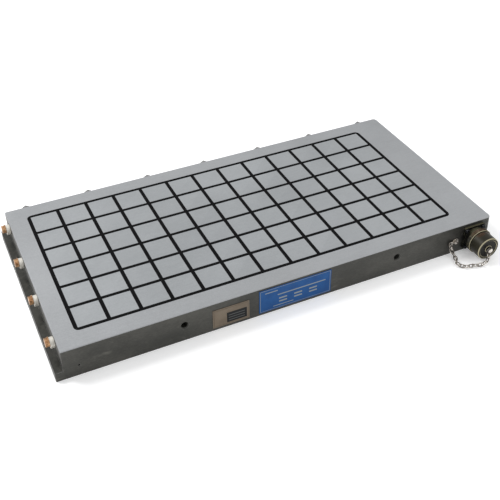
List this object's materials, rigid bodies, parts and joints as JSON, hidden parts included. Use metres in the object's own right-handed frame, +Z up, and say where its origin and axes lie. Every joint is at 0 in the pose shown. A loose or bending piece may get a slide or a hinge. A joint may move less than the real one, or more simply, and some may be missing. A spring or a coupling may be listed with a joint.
{
  "type": "magnetic chuck",
  "caption": "Flat magnetic chuck with a grid of square poles, turning stops on its left end, a clamping ledge and a capped connector on a chain.",
  "frame": {"origin": "middle of the plate's underside, halfway along its 600 mm and across its 300 mm", "axes": "+X along the plate towards the connector's end, +Y to the back, +Z up out of the working face"},
  "size_m": [0.611, 0.3502, 0.043],
  "materials": {
    "ground_steel": "surface-ground steel with fine grinding marks",
    "pole_steel": "surface-ground steel, level with the housing",
    "black_resin": "cast black resin, ground flush",
    "alnico": "cast magnet alloy, ground ends",
    "copper_winding": "enamelled copper winding",
    "nickel_magnet": "nickel-plated block magnets",
    "sealing_rubber": "matt black rubber",
    "olive_shell": "black-olive plated shell",
    "insert_plastic": "moulded black insulator",
    "contact_metal": "plated contacts",
    "lead_sleeve": "insulated leads",
    "olive_cap": "olive-drab cap, worn at its edges",
    "bright_steel": "bright plated steel",
    "yellow_zinc": "yellow zinc plated steel",
    "plain_steel": "plain steel, dull grey",
    "collar_steel": "turned and hardened steel, bright",
    "blue_plate": "blue anodised plate, blank",
    "beige_plate": "beige lacquered plate, blank"
  },
  "bodies": {
    "chuck": {"housing": "ground_steel", "pole_separator": "black_resin", "reversible_magnets": "alnico", "magnet_coils": "copper_winding", "side_magnets_across": "nickel_magnet", "side_magnets_along": "nickel_magnet", "connector_gasket": "sealing_rubber", "connector_shell": "olive_shell", "connector_insert": "insert_plastic", "connector_pins": "contact_metal", "connector_leads": "lead_sleeve", "cap_chain": "bright_steel", "chain_lug": "bright_steel", "chain_screw": "bright_steel", "blank_nameplate": "blue_plate", "blank_notice_plate": "beige_plate", "pole_row_1": "pole_steel", "pole_row_2": "pole_steel", "pole_row_3": "pole_steel", "pole_row_4": "pole_steel", "pole_row_5": "pole_steel", "pole_row_6": "pole_steel", "left_stop_bolts": "yellow_zinc", "back_bolts": "plain_steel"},
    "cap_swivel": {"cap_swivel_stud": "bright_steel", "chain_end_ring": "bright_steel"},
    "dust_cap": {"dust_cap": "olive_cap", "dust_cap_gasket": "sealing_rubber"},
    "left_stop_collar_1": {"left_stop_collar_1": "collar_steel"},
    "left_stop_collar_2": {"left_stop_collar_2": "collar_steel"},
    "left_stop_collar_3": {"left_stop_collar_3": "collar_steel"},
    "left_stop_collar_4": {"left_stop_collar_4": "collar_steel"}
  },
  "joints": [
    {"name": "cap_travel", "type": "slide", "parent": "chuck", "child": "cap_swivel", "axis": [0, -1, 0], "range_m": [0, 0.00901], "deforming": ["cap_chain"]},
    {"name": "cap_turn", "type": "hinge", "parent": "cap_swivel", "child": "dust_cap", "pos_m": [0.271, -0.186, 0.0215], "axis": [0, -1, 0], "range_deg": [0, 2160]},
    {"name": "left_stop_turn_1", "type": "hinge", "parent": "chuck", "child": "left_stop_collar_1", "pos_m": [-0.3, -0.12, 0.0365], "axis": [-1, 0, 0], "continuous": true},
    {"name": "left_stop_turn_2", "type": "hinge", "parent": "chuck", "child": "left_stop_collar_2", "pos_m": [-0.3, -0.04, 0.0365], "axis": [-1, 0, 0], "continuous": true},
    {"name": "left_stop_turn_3", "type": "hinge", "parent": "chuck", "child": "left_stop_collar_3", "pos_m": [-0.3, 0.04, 0.0365], "axis": [-1, 0, 0], "continuous": true},
    {"name": "left_stop_turn_4", "type": "hinge", "parent": "chuck", "child": "left_stop_collar_4", "pos_m": [-0.3, 0.12, 0.0365], "axis": [-1, 0, 0], "continuous": true}
  ],
  "couplings": [
    {"joint": "cap_travel", "follows": "cap_turn", "m_per_rad": 0.00023873}
  ]
}
